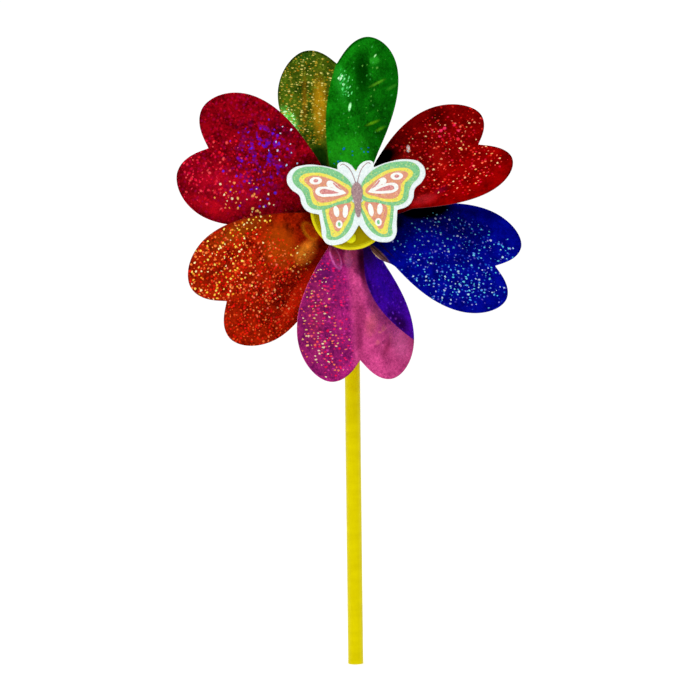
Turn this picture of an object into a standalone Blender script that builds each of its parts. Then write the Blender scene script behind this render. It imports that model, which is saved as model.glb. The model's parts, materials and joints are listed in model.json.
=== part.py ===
"""Toy wind spinner: six heart-shaped foil petals on a hub that turns on a pin at the top of a hollow stick.

Run it with: blender --background --python part.py
Units are metres. +Z is up along the stick, the wheel faces -Y, and the origin is the centre of the stick's
lower end. The axle and everything on it is modelled in the axle's own frame: x to the right, y up and z
forwards, out of the front of the wheel, with z = 0 at the plane of the petals.
"""

import math

import bmesh
import bpy

# Stick, a plain extruded tube
STICK_RADIUS = 0.0037
STICK_WALL = 0.0008
AXLE_HEIGHT = 0.2175

# Axle line
WHEEL_STANDOFF = 0.026  # the petals' plane lies this far in front of the stick's axis
AXLE_RADIUS = 0.0015
AXLE_HEAD_RADIUS = 0.0032
AXLE_HEAD_HEIGHT = 0.0026
BORE_RADIUS = 0.00175  # every hole that the axle passes through
GAP = 0.0003  # left between pieces that touch
WHEEL_TURN = -0.7  # degrees that the wheel has turned from square, where it stands at rest
WASHER_RADIUS = 0.0042
WASHER_THICKNESS = 0.001
BARREL_RADIUS = 0.004
BARREL_BEHIND = 0.006  # the barrel ends this far behind the stick's axis
CAP_RADIUS = 0.004
CAP_LENGTH = 0.005
CAP_BORE_DEPTH = 0.004
CAP_EDGE = 0.0012

# Hub: the rear half carries the sleeve, the front disc is studded to it, and both have six slanted pads
SLEEVE_RADIUS = 0.0036
SLEEVE_FRONT = 0.0045
SLEEVE_REAR = -0.011
REAR_DISC_RADIUS = 0.016
FRONT_DISC_RADIUS = 0.0188
DISC_INNER_FACE = 0.006  # distance of each disc's inner face from the petals' plane
DISC_THICKNESS = 0.0016
LIP_HEIGHT = 0.0009
LIP_SEAT = 0.0001
BOSS_RADIUS = 0.0065
BOSS_HEIGHT = 0.0029
BOSS_CAVITY_RADIUS = 0.0046
BOSS_ROOF = 0.0012
PAD_INNER, PAD_OUTER = 0.0112, 0.0155
PAD_HALF_WIDTH = 0.003
PAD_ROOT = 0.0003  # the pads sink this far into their disc

# Studs that pin each petal between the two halves
STUD_CIRCLE = 0.0131
STUD_SHAFT_RADIUS = 0.0011
STUD_HOLE_RADIUS = 0.0014
STUD_HEAD_RADIUS = 0.0026
STUD_HEAD_HEIGHT = 0.0016
STUD_TAIL = -0.0045
FILM_HOLE_RADIUS = 0.0018

# Foil petals: one flat heart pattern, as (distance from the axle, half width), and its tangent lengths
FILM_THICKNESS = 0.0003
HEART_BASE = (0.009, 0.0065)
HEART_WIDEST = (0.059, 0.031)
HEART_TIP = (0.081, 0.015)
HEART_NOTCH = (0.0715, 0.0)
BASE_TANGENT = (0.013, 0.007)
SIDE_TANGENT, SHOULDER_TANGENT = 0.020, 0.013
TIP_OUTER_TANGENT, TIP_INNER_TANGENT = 0.007, 0.008
NOTCH_TANGENT = (0.0017, 0.0019)
FLARE_PLACE, FLARE_REACH = 0.0165, 0.011  # a flare is widest this far out, and ends this far to either side
PETAL_COLUMNS, PETAL_ROWS = 24, 9
PETAL_PITCH = 0.40  # slope across a petal where the pads clamp it
CLAMPED_TO, FREE_FROM = 0.016, 0.032  # the film bends from the pads' slope to its own between these radii
ARC_STEPS = 8  # intervals of the sum that keeps the film's width

# name: stud direction and skew in degrees, reach in metres, slope, cupping and lean of the free film, and the
# flare in metres by which the film is cut wider on its clockwise side near the hub
PETALS = {
    "petal_green": (90, 7, 0.0010, 0.39, 0.25, -0.12, 0),
    "petal_dark_red": (30, -3, -0.0026, 0.54, 0.24, -0.12, 0),
    "petal_blue": (-30, 13.5, 0.0016, 0.52, -0.09, 0.12, 0.0047),
    "petal_magenta": (-90, 5, -0.0008, 0.44, -0.15, 0.11, 0),
    "petal_orange": (-150, 8.5, 0.0008, 0.39, -0.06, 0.11, 0),
    "petal_red": (150, 8, 0.0017, 0.18, 0.15, 0.04, 0),
}
FOIL_COLOURS = {
    "petal_green": (0.02, 0.42, 0.03),
    "petal_dark_red": (0.35, 0.005, 0.01),
    "petal_blue": (0.01, 0.02, 0.38),
    "petal_magenta": (0.45, 0.03, 0.26),
    "petal_orange": (0.62, 0.11, 0.01),
    "petal_red": (0.55, 0.005, 0.03),
}

# Butterfly badge on the boss: right half of its outline, as (x, y, is a corner)
BADGE_THICKNESS = 0.002
BADGE_OFFSET = (0.0033, 0.0024)
BADGE_TURN = 3.3
BADGE_PAD_RADIUS = 0.006
BADGE_PAD_THICKNESS = 0.001
BADGE_HALF = (
    (0.0000, 0.0150, True),
    (0.0023, 0.0182, False),
    (0.0055, 0.0196, False),
    (0.0080, 0.0190, False),
    (0.0085, 0.0164, True),
    (0.0152, 0.0184, False),
    (0.0240, 0.0192, False),
    (0.0302, 0.0171, False),
    (0.0322, 0.0126, False),
    (0.0305, 0.0086, False),
    (0.0269, 0.0053, False),
    (0.0258, 0.0009, False),
    (0.0236, -0.0021, False),
    (0.0182, -0.0040, True),
    (0.0176, -0.0094, False),
    (0.0168, -0.0158, False),
    (0.0149, -0.0180, False),
    (0.0106, -0.0185, False),
    (0.0063, -0.0172, False),
    (0.0033, -0.0146, False),
    (0.0000, -0.0099, True),
)

# Stick head: a plug in the tube, a collar on its end and a barrel for the axle
PLUG_LENGTH = 0.014
PLUG_RADIUS = STICK_RADIUS - STICK_WALL - GAP
COLLAR_RADIUS = 0.0044
COLLAR_HEIGHT = 0.0025
COLUMN_RADIUS = 0.0032
COLLAR_BASE = AXLE_HEIGHT - 0.007

ROUND_STEPS = 48
SMALL_STEPS = 24
SMOOTH_ANGLE = math.radians(35)
CUTTER_REACH = 0.05


def clear_scene():
    for obj in list(bpy.data.objects):
        bpy.data.objects.remove(obj)


def new_collection(name):
    found = bpy.data.collections.new(name)
    bpy.context.scene.collection.children.link(found)
    return found


def make_material(name, colour, roughness, metallic=0.0):
    material = bpy.data.materials.new(name)
    material.use_nodes = True
    shader = material.node_tree.nodes["Principled BSDF"]
    shader.inputs["Base Color"].default_value = (*colour, 1.0)
    shader.inputs["Roughness"].default_value = roughness
    shader.inputs["Metallic"].default_value = metallic
    return material


def add_part(name, data, material, parent=None, location=(0, 0, 0), turn=0.0):
    """Links an object for one real piece into the model's collection."""
    obj = bpy.data.objects.new(name, data)
    PARTS.objects.link(obj)
    obj.parent = parent
    obj.location = location
    obj.rotation_euler.z = turn
    data.materials.append(material)
    return obj


def smooth(mesh):
    mesh.shade_smooth()
    mesh.set_sharp_from_angle(angle=SMOOTH_ANGLE)


def turned(name, profile, material, closed=False, steps=ROUND_STEPS, **placing):
    """A turned piece from (radius, height) points that run down its outer side."""
    shape = bmesh.new()
    points = [shape.verts.new((radius, 0, height)) for radius, height in profile]
    for start, end in zip(points, points[1:]):
        shape.edges.new((start, end))
    if closed:
        shape.edges.new((points[-1], points[0]))
    mesh = bpy.data.meshes.new(name)
    shape.to_mesh(mesh)
    shape.free()
    obj = add_part(name, mesh, material, **placing)
    screw = obj.modifiers.new("Screw", "SCREW")
    screw.steps = steps
    screw.render_steps = steps
    screw.use_merge_vertices = True
    screw.merge_threshold = 0.00001
    screw.use_smooth_shade = True
    return obj


def cutter_object(name, shape, parent=None, location=(0, 0, 0)):
    mesh = bpy.data.meshes.new(name)
    shape.to_mesh(mesh)
    shape.free()
    obj = bpy.data.objects.new(name, mesh)
    CUTTERS.objects.link(obj)
    obj.parent = parent
    obj.location = location
    obj.hide_render = True
    obj.display_type = "WIRE"
    return obj


def rod_cutter(name, radius, length, parent=None, location=(0, 0, 0)):
    """A cylinder along the parent's z axis, for a hole or for a join."""
    shape = bmesh.new()
    bmesh.ops.create_cone(
        shape, cap_ends=True, segments=SMALL_STEPS, radius1=radius, radius2=radius, depth=length
    )
    return cutter_object(name, shape, parent, location)


def boolean(obj, other, operation):
    modifier = obj.modifiers.new(f"{operation.title()} {other.name}", "BOOLEAN")
    modifier.object = other
    modifier.operation = operation
    modifier.solver = "EXACT"


def stud_place(direction):
    angle = math.radians(direction)
    return (STUD_CIRCLE * math.cos(angle), STUD_CIRCLE * math.sin(angle), 0)


def stick():
    inner = STICK_RADIUS - STICK_WALL
    top = COLLAR_BASE - GAP
    profile = ((STICK_RADIUS, top), (STICK_RADIUS, 0), (inner, 0), (inner, top))
    return turned("stick", profile, YELLOW, closed=True)


def stick_head(axle_line):
    """Plug, collar and barrel in one moulding, bored for the axle."""
    chamfer = 0.0006
    profile = (
        (0, AXLE_HEIGHT),
        (COLUMN_RADIUS, AXLE_HEIGHT),
        (COLUMN_RADIUS, COLLAR_BASE + COLLAR_HEIGHT),
        (COLLAR_RADIUS - chamfer, COLLAR_BASE + COLLAR_HEIGHT),
        (COLLAR_RADIUS, COLLAR_BASE + COLLAR_HEIGHT - chamfer),
        (COLLAR_RADIUS, COLLAR_BASE),
        (PLUG_RADIUS, COLLAR_BASE),
        (PLUG_RADIUS, COLLAR_BASE - PLUG_LENGTH + chamfer),
        (PLUG_RADIUS - chamfer, COLLAR_BASE - PLUG_LENGTH),
        (0, COLLAR_BASE - PLUG_LENGTH),
    )
    head = turned("stick_head", profile, YELLOW)
    front = BARREL_FRONT
    rear = BARREL_REAR
    middle = (0, 0, (front + rear) / 2)
    barrel = rod_cutter("barrel", BARREL_RADIUS, front - rear, axle_line, middle)
    bore = rod_cutter("barrel_bore", BORE_RADIUS, CUTTER_REACH, axle_line, middle)
    boolean(head, barrel, "UNION")
    boolean(head, bore, "DIFFERENCE")
    return head


def axle(axle_line):
    """A moulded pin: domed head in the boss, shank through the hub, the washers and the barrel."""
    seat = SLEEVE_FRONT + GAP
    tail = CAP_FRONT - CAP_BORE_DEPTH + GAP
    chamfer = 0.0004
    dome = [
        (AXLE_HEAD_RADIUS * math.sin(a), seat + AXLE_HEAD_HEIGHT / 2 * (1 + math.cos(a)))
        for a in (math.radians(15 * i) for i in range(7))
    ]
    profile = (
        *dome,
        (AXLE_HEAD_RADIUS, seat),
        (AXLE_RADIUS, seat),
        (AXLE_RADIUS, tail + chamfer),
        (AXLE_RADIUS - chamfer, tail),
        (0, tail),
    )
    return turned("axle_pin", profile, WHITE, steps=SMALL_STEPS, parent=axle_line)


def washer(name, front, axle_line):
    rear = front - WASHER_THICKNESS
    profile = (
        (WASHER_RADIUS, front),
        (WASHER_RADIUS, rear),
        (BORE_RADIUS, rear),
        (BORE_RADIUS, front),
    )
    return turned(name, profile, WHITE, closed=True, steps=SMALL_STEPS, parent=axle_line)


def axle_cap(axle_line):
    """Push-on cap that keeps the pin's tail in the barrel."""
    rear = CAP_FRONT - CAP_LENGTH
    rounding = [
        (CAP_RADIUS - CAP_EDGE * (1 - math.cos(a)), rear + CAP_EDGE * (1 - math.sin(a)))
        for a in (math.radians(30 * i) for i in range(4))
    ]
    profile = (
        (BORE_RADIUS, CAP_FRONT),
        (CAP_RADIUS, CAP_FRONT),
        *rounding,
        (0, rear),
        (0, CAP_FRONT - CAP_BORE_DEPTH),
        (BORE_RADIUS, CAP_FRONT - CAP_BORE_DEPTH),
    )
    return turned("axle_cap", profile, YELLOW, closed=True, steps=SMALL_STEPS, parent=axle_line)


def pad_block(name, side, direction, wheel):
    """A wedge under (side -1) or over (side +1) a petal, with its clamping face on the petal's slope."""
    shape = bmesh.new()
    bmesh.ops.create_cube(shape, size=1.0)
    for vert in shape.verts:
        radial = PAD_INNER if vert.co.x < 0 else PAD_OUTER
        across = PAD_HALF_WIDTH if vert.co.y > 0 else -PAD_HALF_WIDTH
        at_disc = vert.co.z * side > 0
        film_face = side * (FILM_THICKNESS / 2 + GAP) - PETAL_PITCH * across
        height = side * (DISC_INNER_FACE + PAD_ROOT) if at_disc else film_face
        vert.co = (radial, across, height)
    pad = cutter_object(name, shape, wheel)
    pad.rotation_euler.z = math.radians(direction)
    return pad


def add_pads_and_holes(disc, side, wheel):
    directions = [petal[0] for petal in PETALS.values()]
    for number, direction in enumerate(directions, 1):
        boolean(disc, pad_block(f"{disc.name}_pad_{number}", side, direction, wheel), "UNION")
    for number, direction in enumerate(directions, 1):
        hole = rod_cutter(
            f"{disc.name}_hole_{number}", STUD_HOLE_RADIUS, CUTTER_REACH, wheel, stud_place(direction)
        )
        boolean(disc, hole, "DIFFERENCE")


def hub_body(wheel):
    """Rear half of the hub: sleeve, disc and six pads."""
    chamfer = 0.0004
    face, back = -DISC_INNER_FACE, -DISC_INNER_FACE - DISC_THICKNESS
    profile = (
        (SLEEVE_RADIUS, SLEEVE_FRONT),
        (SLEEVE_RADIUS, face),
        (REAR_DISC_RADIUS - chamfer, face),
        (REAR_DISC_RADIUS, face - chamfer),
        (REAR_DISC_RADIUS, back + chamfer),
        (REAR_DISC_RADIUS - chamfer, back),
        (SLEEVE_RADIUS + 2 * chamfer, back),
        (SLEEVE_RADIUS, back - 2 * chamfer),
        (SLEEVE_RADIUS, SLEEVE_REAR),
        (BORE_RADIUS, SLEEVE_REAR),
        (BORE_RADIUS, SLEEVE_FRONT),
    )
    body = turned("hub_body", profile, YELLOW, closed=True, parent=wheel)
    add_pads_and_holes(body, -1, wheel)
    return body


def hub_front_disc(wheel):
    """Front half of the hub: a shallow dish with a rolled lip and a hollow boss over the pin's head."""
    back, face = DISC_INNER_FACE, DISC_INNER_FACE + DISC_THICKNESS
    roof = face + BOSS_HEIGHT
    edge = 0.0006
    lip_middle = FRONT_DISC_RADIUS - LIP_HEIGHT
    lip_base = face + LIP_SEAT
    lip = [
        (lip_middle - LIP_HEIGHT * math.cos(a), lip_base + LIP_HEIGHT * math.sin(a))
        for a in (math.radians(30 * i) for i in range(7))
    ]
    profile = (
        (0, roof),
        (BOSS_RADIUS - edge, roof),
        (BOSS_RADIUS, roof - edge),
        (BOSS_RADIUS + edge, face + edge),
        (BOSS_RADIUS + 2 * edge, face),
        *lip,
        (FRONT_DISC_RADIUS, back + edge),
        (FRONT_DISC_RADIUS - edge, back),
        (BOSS_CAVITY_RADIUS, back),
        (BOSS_CAVITY_RADIUS, roof - BOSS_ROOF),
        (0, roof - BOSS_ROOF),
    )
    disc = turned("hub_front_disc", profile, YELLOW, parent=wheel)
    add_pads_and_holes(disc, 1, wheel)
    return disc


def stud(number, direction, wheel):
    """A domed stud: head on the front disc, shaft through the film into the rear half."""
    seat = DISC_INNER_FACE + DISC_THICKNESS + GAP
    dome = [
        (STUD_HEAD_RADIUS * math.sin(a), seat + STUD_HEAD_HEIGHT * math.cos(a))
        for a in (math.radians(18 * i) for i in range(6))
    ]
    profile = (*dome, (STUD_SHAFT_RADIUS, seat), (STUD_SHAFT_RADIUS, STUD_TAIL), (0, STUD_TAIL))
    return turned(
        f"petal_stud_{number}",
        profile,
        YELLOW,
        steps=SMALL_STEPS,
        parent=wheel,
        location=stud_place(direction),
    )


def bezier(start, start_tangent, end, end_tangent, t):
    """A point on a cubic arc from its ends and the offsets of its handles."""
    handles = (
        start,
        (start[0] + start_tangent[0], start[1] + start_tangent[1]),
        (end[0] + end_tangent[0], end[1] + end_tangent[1]),
        end,
    )
    weights = ((1 - t) ** 3, 3 * t * (1 - t) ** 2, 3 * t * t * (1 - t), t**3)
    return tuple(sum(w * p[axis] for w, p in zip(weights, handles)) for axis in (0, 1))


def heart_side(t):
    """The heart's right edge, from its base at t = 0 to its widest place at t = 1."""
    return bezier(HEART_BASE, BASE_TANGENT, HEART_WIDEST, (-SIDE_TANGENT, 0), t)


def heart_top(t):
    """The heart's outer edge, over one lobe, into the notch at t = 0.5 and over the other lobe."""
    side = 1 if t <= 0.5 else -1
    share = 4 * min(t, 1 - t)
    if share <= 1:
        point = bezier(HEART_WIDEST, (SHOULDER_TANGENT, 0), HEART_TIP, (0, TIP_OUTER_TANGENT), share)
    else:
        point = bezier(HEART_TIP, (0, -TIP_INNER_TANGENT), HEART_NOTCH, NOTCH_TANGENT, share - 1)
    return point[0], side * point[1]


def heart_point(across, along, flare):
    """A point of the flat film. across runs 0 to 1 from the right edge to the left, along from base to lobes."""
    out, half_width = heart_side(along)
    widening = flare * max(0.0, 1 - ((out - FLARE_PLACE) / FLARE_REACH) ** 2) ** 2
    aside = half_width * (1 - 2 * across) + widening * (1 - across)
    top = heart_top(across)
    return (
        out + along * (top[0] - HEART_WIDEST[0]),
        aside + along * (top[1] - HEART_WIDEST[1] * (1 - 2 * across)),
    )


def smoothstep(low, high, value):
    t = min(1.0, max(0.0, (value - low) / (high - low)))
    return t * t * (3 - 2 * t)


def bent_point(place, petal):
    """Where a point of the flat film lies once it is pinned on the hub and bent into a cone about the axle."""
    direction, skew, reach, slope, cupping, lean, _ = petal
    turn = math.radians(skew)
    out, aside = place[0] - STUD_CIRCLE, -place[1]
    x = out * math.cos(turn) - aside * math.sin(turn) + STUD_CIRCLE + reach
    y = out * math.sin(turn) + aside * math.cos(turn)
    radius = math.hypot(x, y)
    angle = -math.atan2(y, x)
    free = smoothstep(CLAMPED_TO, FREE_FROM, radius)

    def rise(a):
        own = lean + slope * math.sin(a) + cupping * a * a
        return own * free + PETAL_PITCH * math.sin(a) * (1 - free)

    def narrowing(a):
        """How much of an angle on the flat film is left, seen along the axle, where the film climbs."""
        climb = (slope * math.cos(a) + 2 * cupping * a) * free + PETAL_PITCH * math.cos(a) * (1 - free)
        return math.sqrt(max(0.05, 1 - rise(a) ** 2 - climb**2)) / (1 - rise(a) ** 2)

    step = angle / ARC_STEPS
    covered = sum(narrowing((i + 0.5) * step) for i in range(ARC_STEPS)) * step
    height = radius * rise(angle)
    flat = math.sqrt(radius**2 - height**2)
    seen = math.radians(direction) - covered
    return flat * math.cos(seen), flat * math.sin(seen), height


def petal(name, settings, wheel):
    """A heart of thin foil, with a hole for its stud."""
    shape = bmesh.new()
    bmesh.ops.create_grid(shape, x_segments=PETAL_COLUMNS, y_segments=PETAL_ROWS, size=0.5)
    for vert in shape.verts:
        place = heart_point(vert.co.x + 0.5, vert.co.y + 0.5, settings[-1])
        vert.co = bent_point(place, settings)
    mesh = bpy.data.meshes.new(name)
    shape.to_mesh(mesh)
    shape.free()
    smooth(mesh)
    foil = make_material(name + "_foil", FOIL_COLOURS[name], 0.25, 0.8)
    obj = add_part(name, mesh, foil, parent=wheel)
    solidify = obj.modifiers.new("Film", "SOLIDIFY")
    solidify.thickness = FILM_THICKNESS
    solidify.offset = 0.0
    hole = rod_cutter(name + "_hole", FILM_HOLE_RADIUS, CUTTER_REACH / 8, wheel, stud_place(settings[0]))
    boolean(obj, hole, "DIFFERENCE")
    return obj


def badge(wheel):
    """The butterfly: a flat foam board cut to a symmetric outline."""
    curve = bpy.data.curves.new("butterfly_board", "CURVE")
    curve.dimensions = "2D"
    curve.fill_mode = "BOTH"
    curve.extrude = BADGE_THICKNESS / 2
    curve.resolution_u = 5
    outline = [*BADGE_HALF, *((-x, y, corner) for x, y, corner in BADGE_HALF[-2:0:-1])]
    spline = curve.splines.new("BEZIER")
    spline.bezier_points.add(len(outline) - 1)
    spline.use_cyclic_u = True
    for point, (x, y, corner) in zip(spline.bezier_points, outline):
        point.co = (x, y, 0)
        kind = "VECTOR" if corner else "AUTO"
        point.handle_left_type = kind
        point.handle_right_type = kind
    place = (*BADGE_OFFSET, BADGE_BACK + BADGE_THICKNESS / 2)
    return add_part("butterfly_board", curve, FOAM, wheel, place, math.radians(BADGE_TURN))


def badge_pad(wheel):
    """Double-sided foam tape between the boss and the butterfly."""
    rear = BADGE_BACK - GAP - BADGE_PAD_THICKNESS
    front = BADGE_BACK - GAP
    profile = ((0, front), (BADGE_PAD_RADIUS, front), (BADGE_PAD_RADIUS, rear), (0, rear))
    return turned("butterfly_tape", profile, TAPE, steps=SMALL_STEPS, parent=wheel)


def axle_empty(name, turn):
    """An empty whose z axis is the axle line, at the plane of the petals."""
    empty = bpy.data.objects.new(name, None)
    PARTS.objects.link(empty)
    empty.location = (0, -WHEEL_STANDOFF, AXLE_HEIGHT)
    empty.rotation_euler = (math.radians(90), math.radians(-turn), 0)
    return empty


def build():
    axle_line = axle_empty("axle_line", 0)
    wheel = axle_empty("wheel", WHEEL_TURN)

    stick()
    stick_head(axle_line)
    axle(axle_line)
    washer("front_washer", SLEEVE_REAR - GAP, axle_line)
    washer("rear_washer", BARREL_REAR - GAP, axle_line)
    axle_cap(axle_line)

    hub_body(wheel)
    hub_front_disc(wheel)
    for number, (name, settings) in enumerate(PETALS.items(), 1):
        petal(name, settings, wheel)
        stud(number, settings[0], wheel)
    badge_pad(wheel)
    badge(wheel)


# Places along the axle that follow from the sizes above
BARREL_FRONT = SLEEVE_REAR - 2 * GAP - WASHER_THICKNESS
BARREL_REAR = -WHEEL_STANDOFF - BARREL_BEHIND
CAP_FRONT = BARREL_REAR - 2 * GAP - WASHER_THICKNESS
BADGE_BACK = DISC_INNER_FACE + DISC_THICKNESS + BOSS_HEIGHT + 2 * GAP + BADGE_PAD_THICKNESS

clear_scene()
PARTS = new_collection("wind_spinner")
CUTTERS = new_collection("cutters")
YELLOW = make_material("yellow_plastic", (0.66, 0.58, 0.0), 0.35)
WHITE = make_material("white_plastic", (0.80, 0.80, 0.76), 0.4)
FOAM = make_material("white_foam", (0.82, 0.88, 0.86), 0.7)
TAPE = make_material("foam_tape", (0.75, 0.75, 0.72), 0.8)
build()
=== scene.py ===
"""Looks of the toy wind spinner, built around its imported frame.

Units are metres. +Z is up along the stick and the wheel faces -Y. Pieces on the axle are made in the
axle's own frame: x to the right, y up and z forwards, with z = 0 at the plane of the petals. Painted detail
on a petal is placed on its flat pattern: u runs out from the axle and v across, with v > 0 on its clockwise
side.
"""

import json
import math

import bmesh
import bpy
from mathutils import Matrix, Vector

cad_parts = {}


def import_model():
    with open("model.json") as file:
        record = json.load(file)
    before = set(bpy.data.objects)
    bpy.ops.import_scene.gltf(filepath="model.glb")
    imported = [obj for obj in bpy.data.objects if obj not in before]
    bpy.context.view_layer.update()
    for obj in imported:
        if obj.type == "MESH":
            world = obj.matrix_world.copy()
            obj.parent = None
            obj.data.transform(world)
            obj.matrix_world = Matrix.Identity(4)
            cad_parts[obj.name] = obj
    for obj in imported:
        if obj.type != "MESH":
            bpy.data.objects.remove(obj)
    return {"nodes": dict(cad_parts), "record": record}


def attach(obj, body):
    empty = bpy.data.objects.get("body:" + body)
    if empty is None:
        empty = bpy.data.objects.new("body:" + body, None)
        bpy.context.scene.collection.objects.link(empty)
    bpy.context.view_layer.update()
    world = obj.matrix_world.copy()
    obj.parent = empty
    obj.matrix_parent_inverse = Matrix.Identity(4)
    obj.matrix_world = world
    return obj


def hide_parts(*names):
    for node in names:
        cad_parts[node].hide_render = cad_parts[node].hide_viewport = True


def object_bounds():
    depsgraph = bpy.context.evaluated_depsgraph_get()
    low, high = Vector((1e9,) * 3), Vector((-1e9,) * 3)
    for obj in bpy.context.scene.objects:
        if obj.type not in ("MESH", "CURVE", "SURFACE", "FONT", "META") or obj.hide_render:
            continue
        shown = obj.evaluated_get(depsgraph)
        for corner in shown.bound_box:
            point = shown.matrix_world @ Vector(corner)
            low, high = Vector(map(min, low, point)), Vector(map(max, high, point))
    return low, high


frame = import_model()
CAD_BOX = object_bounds()

MM = 0.001

# The axle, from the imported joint
AXLE_PLACE = Vector(frame["record"]["behaviour"]["joints"][0]["pos_m"])
WHEEL_TURN = -0.7  # degrees that the wheel has turned from square, where it stands at rest
AXLE_LINE = Matrix.Translation(AXLE_PLACE) @ Matrix.Rotation(math.radians(90), 4, "X")
WHEEL = AXLE_LINE @ Matrix.Rotation(math.radians(WHEEL_TURN), 4, "Z")

# Stick and axle, as in the part
STICK_RADIUS = 3.7 * MM
STICK_WALL = 0.8 * MM
STICK_ROWS = 24
GAP = 0.3 * MM
BORE_RADIUS = 1.75 * MM
WASHER_RADIUS = 4.2 * MM
WASHER_THICKNESS = 1.0 * MM
BARREL_RADIUS = 4.0 * MM
BARREL_BEHIND = 6.0 * MM  # the barrel ends this far behind the stick's axis
COLLAR_RADIUS = 4.4 * MM
COLLAR_HEIGHT = 2.5 * MM
COLLAR_BELOW_AXLE = 7.0 * MM
COLUMN_RADIUS = 3.2 * MM
PLUG_LENGTH = 14 * MM
PLUG_RADIUS = STICK_RADIUS - STICK_WALL - GAP
CAP_RADIUS = 4.0 * MM
CAP_LENGTH = 5.0 * MM
CAP_BORE_DEPTH = 4.0 * MM

# Hub, as in the part
SLEEVE_RADIUS = 3.6 * MM
SLEEVE_FRONT = 4.5 * MM
SLEEVE_REAR = -11 * MM
REAR_DISC_RADIUS = 16 * MM
FRONT_DISC_RADIUS = 18.8 * MM
DISC_INNER_FACE = 6.0 * MM
DISC_THICKNESS = 1.6 * MM
SLEEVE_FILLET = 0.8 * MM
BOSS_FILLET = 0.6 * MM
RIM_CHAMFER = 0.6 * MM
LIP_HEIGHT = 0.9 * MM
LIP_SEAT = 0.1 * MM
BOSS_RADIUS = 6.5 * MM
BOSS_HEIGHT = 2.9 * MM
BOSS_CAVITY_RADIUS = 4.6 * MM
BOSS_ROOF = 1.2 * MM
PAD_INNER, PAD_OUTER = 11.2 * MM, 15.5 * MM
PAD_HALF_WIDTH = 3.0 * MM
PAD_ROOT = 0.3 * MM
PAD_CLEARANCE = 0.15 * MM + GAP  # from the middle of the film to the face of a pad
STUD_CIRCLE = 13.1 * MM
STUD_SHAFT_RADIUS = 1.1 * MM
STUD_HOLE_RADIUS = 1.4 * MM
STUD_HEAD_RADIUS = 2.6 * MM
STUD_HEAD_HEIGHT = 1.6 * MM
STUD_TAIL = -4.5 * MM
FILM_HOLE_RADIUS = 1.8 * MM

# Petals, as in the part: one flat heart pattern, bent into six cones about the axle
FILM_THICKNESS = 0.2 * MM  # the part's film is a little thicker
HEART_BASE = (0.009, 0.0065)
HEART_WIDEST = (0.059, 0.031)
HEART_TIP = (0.081, 0.015)
HEART_NOTCH = (0.0715, 0.0)
BASE_TANGENT = (0.013, 0.007)
SIDE_TANGENT, SHOULDER_TANGENT = 0.020, 0.013
TIP_OUTER_TANGENT, TIP_INNER_TANGENT = 0.007, 0.008
NOTCH_TANGENT = (0.0017, 0.0019)
FLARE_PLACE, FLARE_REACH = 0.0165, 0.011  # widest this far out, and ended this far to either side
PETAL_COLUMNS, PETAL_ROWS = 96, 48  # finer than the part's
PETAL_PITCH = 0.40  # slope across a petal where the pads clamp it
CLAMPED_TO, FREE_FROM = 0.016, 0.032  # the film bends from the pads' slope to its own between these radii
ARC_STEPS = 12  # intervals of the sum that keeps the film's width

# name: stud direction and skew in degrees, reach in metres, slope, cupping and lean of the free film, and
# flare in metres
PETALS = {
    "petal_green": (90, 7, 0.0010, 0.39, 0.25, -0.12, 0),
    "petal_dark_red": (30, -3, -0.0026, 0.54, 0.24, -0.12, 0),
    "petal_blue": (-30, 13.5, 0.0016, 0.52, -0.09, 0.12, 0.0047),
    "petal_magenta": (-90, 5, -0.0008, 0.44, -0.15, 0.11, 0),
    "petal_orange": (-150, 8.5, 0.0008, 0.39, -0.06, 0.11, 0),
    "petal_red": (150, 8, 0.0017, 0.18, 0.15, 0.04, 0),
}

# Butterfly badge. Outlines are right halves, in millimetres on its face, as (x, y) or (x, y, "corner")
BADGE_OFFSET = (3.3 * MM, 2.4 * MM)
BADGE_TURN = 3.3
BADGE_THICKNESS = 2.0 * MM
BADGE_EDGE = 0.35 * MM
BADGE_PAD_RADIUS = 6.0 * MM
BADGE_PAD_THICKNESS = 1.0 * MM
BADGE_OUTLINE = (
    (0, 15.0, "corner"), (2.3, 18.2), (5.5, 19.6), (8.0, 19.0), (8.5, 16.4, "corner"),
    (15.2, 18.4), (24.0, 19.2), (30.2, 17.1), (32.2, 12.6), (30.5, 8.6), (26.9, 5.3),
    (25.8, 0.9), (23.6, -2.1), (18.2, -4.0, "corner"), (17.6, -9.4), (16.8, -15.8),
    (14.9, -18.0), (10.6, -18.5), (6.3, -17.2), (3.3, -14.6), (0, -9.9, "corner"),
)
FOREWING_GREEN = (
    (1.8, 7.4), (5.9, 13.5), (10.3, 16.2), (15.1, 17.8), (20.4, 18.3), (25.3, 17.9), (28.5, 16.1),
    (29.6, 13.1), (28.4, 10.1), (25.7, 7.5), (24.1, 4.3), (23.2, 0.9), (20.6, -1.3), (16.2, -1.9),
    (9.4, -0.2), (2.1, 2.1),
)
FOREWING_YELLOW = (
    (2.7, 7.5), (6.1, 10.1), (10.4, 12.8), (15.2, 14.8), (20.6, 15.4), (24.8, 14.6), (26.5, 12.4),
    (24.7, 10.1), (22.3, 7.7), (21.6, 4.1), (20.1, 0.7), (16.1, -0.2), (9.3, 1.2), (2.9, 3.9),
)
FOREWING_ORANGE = (
    (3.9, 5.8), (7.1, 8.9), (11.4, 11.6), (16.6, 13.6), (21.5, 13.9), (24.1, 12.3), (22.6, 10.0),
    (20.6, 7.6), (20.1, 4.5), (18.2, 1.9), (13.8, 1.4), (8.3, 2.9), (4.2, 4.7),
)
HINDWING_GREEN = (
    (16.0, -1.0), (16.2, -6.0), (15.2, -12.3), (15.2, -15.2), (12.1, -16.3), (8.0, -15.2), (4.3, -11.6),
    (2.2, -6.8), (1.7, 0.5),
)
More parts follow.
